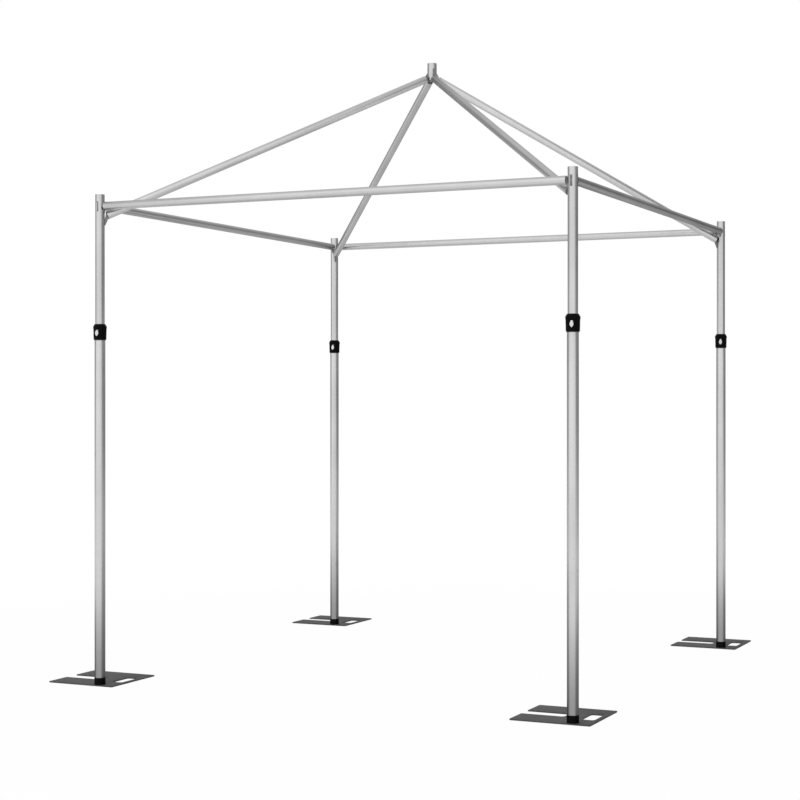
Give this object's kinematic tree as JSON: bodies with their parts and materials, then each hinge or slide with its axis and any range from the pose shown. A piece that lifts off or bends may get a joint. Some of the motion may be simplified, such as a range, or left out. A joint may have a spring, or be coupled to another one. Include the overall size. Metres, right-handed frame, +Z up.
{
  "type": "pipe and drape frame",
  "caption": "Square free-standing drape frame: telescoping uprights on flat base plates, hook-in crossbars and rafters rising to a central hub.",
  "frame": {"origin": "on the floor, at the middle of the footprint of the whole object; the middle of the four uprights stands 97 mm to the right of it and 150 mm in front, because the base plates stick out to the left and the back", "axes": "+Z up; +X to the right along the front crossbar, +Y towards the back, seen from the side on which the thumb tabs face out"},
  "size_m": [2.766, 2.7779, 3.098],
  "materials": {
    "base_steel": "dark grey powder coat",
    "pin_steel": "zinc plated",
    "bolt_steel": "zinc plated",
    "black_plastic": "moulded, fine grain",
    "tube_aluminium": "satin mill finish with fine draw lines",
    "bush_plastic": "turned nylon",
    "collar_plastic": "moulded, fine grain",
    "spring_steel": "drawn wire",
    "lock_steel": "bright zinc plate",
    "bar_aluminium": "satin mill finish with fine draw lines",
    "hook_metal": "dark plated casting",
    "hub_aluminium": "satin mill finish"
  },
  "bodies": {
    "leg_front_left": {"outer_tube_front_left": "tube_aluminium", "foot_cap_front_left": "black_plastic", "slide_bush_front_left": "bush_plastic", "lock_collar_front_left": "collar_plastic", "lock_spring_front_left": "spring_steel"},
    "base_front_left": {"base_plate_front_left": "base_steel", "base_pin_front_left": "pin_steel", "pin_bolt_front_left": "bolt_steel"},
    "lock_front_left": {"lock_plate_front_left": "lock_steel"},
    "leg_front_right": {"outer_tube_front_right": "tube_aluminium", "foot_cap_front_right": "black_plastic", "slide_bush_front_right": "bush_plastic", "lock_collar_front_right": "collar_plastic", "lock_spring_front_right": "spring_steel"},
    "base_front_right": {"base_plate_front_right": "base_steel", "base_pin_front_right": "pin_steel", "pin_bolt_front_right": "bolt_steel"},
    "lock_front_right": {"lock_plate_front_right": "lock_steel"},
    "leg_back_left": {"outer_tube_back_left": "tube_aluminium", "foot_cap_back_left": "black_plastic", "slide_bush_back_left": "bush_plastic", "lock_collar_back_left": "collar_plastic", "lock_spring_back_left": "spring_steel"},
    "base_back_left": {"base_plate_back_left": "base_steel", "base_pin_back_left": "pin_steel", "pin_bolt_back_left": "bolt_steel"},
    "lock_back_left": {"lock_plate_back_left": "lock_steel"},
    "leg_back_right": {"outer_tube_back_right": "tube_aluminium", "foot_cap_back_right": "black_plastic", "slide_bush_back_right": "bush_plastic", "lock_collar_back_right": "collar_plastic", "lock_spring_back_right": "spring_steel"},
    "base_back_right": {"base_plate_back_right": "base_steel", "base_pin_back_right": "pin_steel", "pin_bolt_back_right": "bolt_steel"},
    "lock_back_right": {"lock_plate_back_right": "lock_steel"},
    "top_frame": {"inner_tube_front_left": "tube_aluminium", "inner_tube_front_right": "tube_aluminium", "inner_tube_back_left": "tube_aluminium", "inner_tube_back_right": "tube_aluminium", "guide_bush_front_left": "bush_plastic", "guide_bush_front_right": "bush_plastic", "guide_bush_back_left": "bush_plastic", "guide_bush_back_right": "bush_plastic", "rafter_front_left": "bar_aluminium", "rafter_front_right": "bar_aluminium", "rafter_back_left": "bar_aluminium", "rafter_back_right": "bar_aluminium", "rafter_hooks": "hook_metal", "hub": "hub_aluminium"},
    "crossbar_front": {"crossbar_front": "bar_aluminium", "crossbar_hooks_front": "hook_metal"},
    "crossbar_right": {"crossbar_right": "bar_aluminium", "crossbar_hooks_right": "hook_metal"},
    "crossbar_back": {"crossbar_back": "bar_aluminium", "crossbar_hooks_back": "hook_metal"},
    "crossbar_left": {"crossbar_left": "bar_aluminium", "crossbar_hooks_left": "hook_metal"}
  },
  "joints": [
    {"name": "telescope_front_left", "type": "slide", "parent": "leg_front_left", "child": "top_frame", "axis": [0, 0, 1], "range_m": [-0.43, 0.7]},
    {"name": "telescope_front_right", "type": "slide", "parent": "top_frame", "child": "leg_front_right", "axis": [0, 0, -1], "range_m": [-0.43, 0.7]},
    {"name": "telescope_back_left", "type": "slide", "parent": "top_frame", "child": "leg_back_left", "axis": [0, 0, -1], "range_m": [-0.43, 0.7]},
    {"name": "telescope_back_right", "type": "slide", "parent": "top_frame", "child": "leg_back_right", "axis": [0, 0, -1], "range_m": [-0.43, 0.7]},
    {"name": "base_swivel_front_left", "type": "hinge", "parent": "leg_front_left", "child": "base_front_left", "pos_m": [-1.103, -1.35, 0], "axis": [0, 0, 1], "continuous": true},
    {"name": "base_swivel_front_right", "type": "hinge", "parent": "leg_front_right", "child": "base_front_right", "pos_m": [1.297, -1.35, 0], "axis": [0, 0, 1], "continuous": true},
    {"name": "base_swivel_back_left", "type": "hinge", "parent": "leg_back_left", "child": "base_back_left", "pos_m": [-1.103, 1.05, 0], "axis": [0, 0, 1], "continuous": true},
    {"name": "base_swivel_back_right", "type": "hinge", "parent": "leg_back_right", "child": "base_back_right", "pos_m": [1.297, 1.05, 0], "axis": [0, 0, 1], "continuous": true},
    {"name": "lock_press_front_left", "type": "hinge", "parent": "leg_front_left", "child": "lock_front_left", "pos_m": [-1.10796, -1.32448, 1.692], "axis": [0.9816, 0.1908, 0], "range_deg": [0, 5], "stiffness_Nm_per_rad": 4, "springref_deg": -5.73, "deforming": ["lock_spring_front_left"]},
    {"name": "lock_press_front_right", "type": "hinge", "parent": "leg_front_right", "child": "lock_front_right", "pos_m": [1.29204, -1.32448, 1.692], "axis": [0.9816, 0.1908, 0], "range_deg": [0, 5], "stiffness_Nm_per_rad": 4, "springref_deg": -5.73, "deforming": ["lock_spring_front_right"]},
    {"name": "lock_press_back_left", "type": "hinge", "parent": "leg_back_left", "child": "lock_back_left", "pos_m": [-1.10796, 1.07552, 1.692], "axis": [0.9816, 0.1908, 0], "range_deg": [0, 5], "stiffness_Nm_per_rad": 4, "springref_deg": -5.73, "deforming": ["lock_spring_back_left"]},
    {"name": "lock_press_back_right", "type": "hinge", "parent": "leg_back_right", "child": "lock_back_right", "pos_m": [1.29204, 1.07552, 1.692], "axis": [0.9816, 0.1908, 0], "range_deg": [0, 5], "stiffness_Nm_per_rad": 4, "springref_deg": -5.73, "deforming": ["lock_spring_back_right"]},
    {"name": "crossbar_lift_front", "type": "slide", "parent": "top_frame", "child": "crossbar_front", "axis": [0, 0, 1], "range_m": [0, 0.022]},
    {"name": "crossbar_lift_right", "type": "slide", "parent": "top_frame", "child": "crossbar_right", "axis": [0, 0, 1], "range_m": [0, 0.022]},
    {"name": "crossbar_lift_back", "type": "slide", "parent": "top_frame", "child": "crossbar_back", "axis": [0, 0, 1], "range_m": [0, 0.022]},
    {"name": "crossbar_lift_left", "type": "slide", "parent": "top_frame", "child": "crossbar_left", "axis": [0, 0, 1], "range_m": [0, 0.022]}
  ],
  "couplings": [
    {"joint": "telescope_front_right", "follows": "telescope_front_left", "ratio": 1},
    {"joint": "telescope_back_left", "follows": "telescope_front_left", "ratio": 1},
    {"joint": "telescope_back_right", "follows": "telescope_front_left", "ratio": 1}
  ]
}
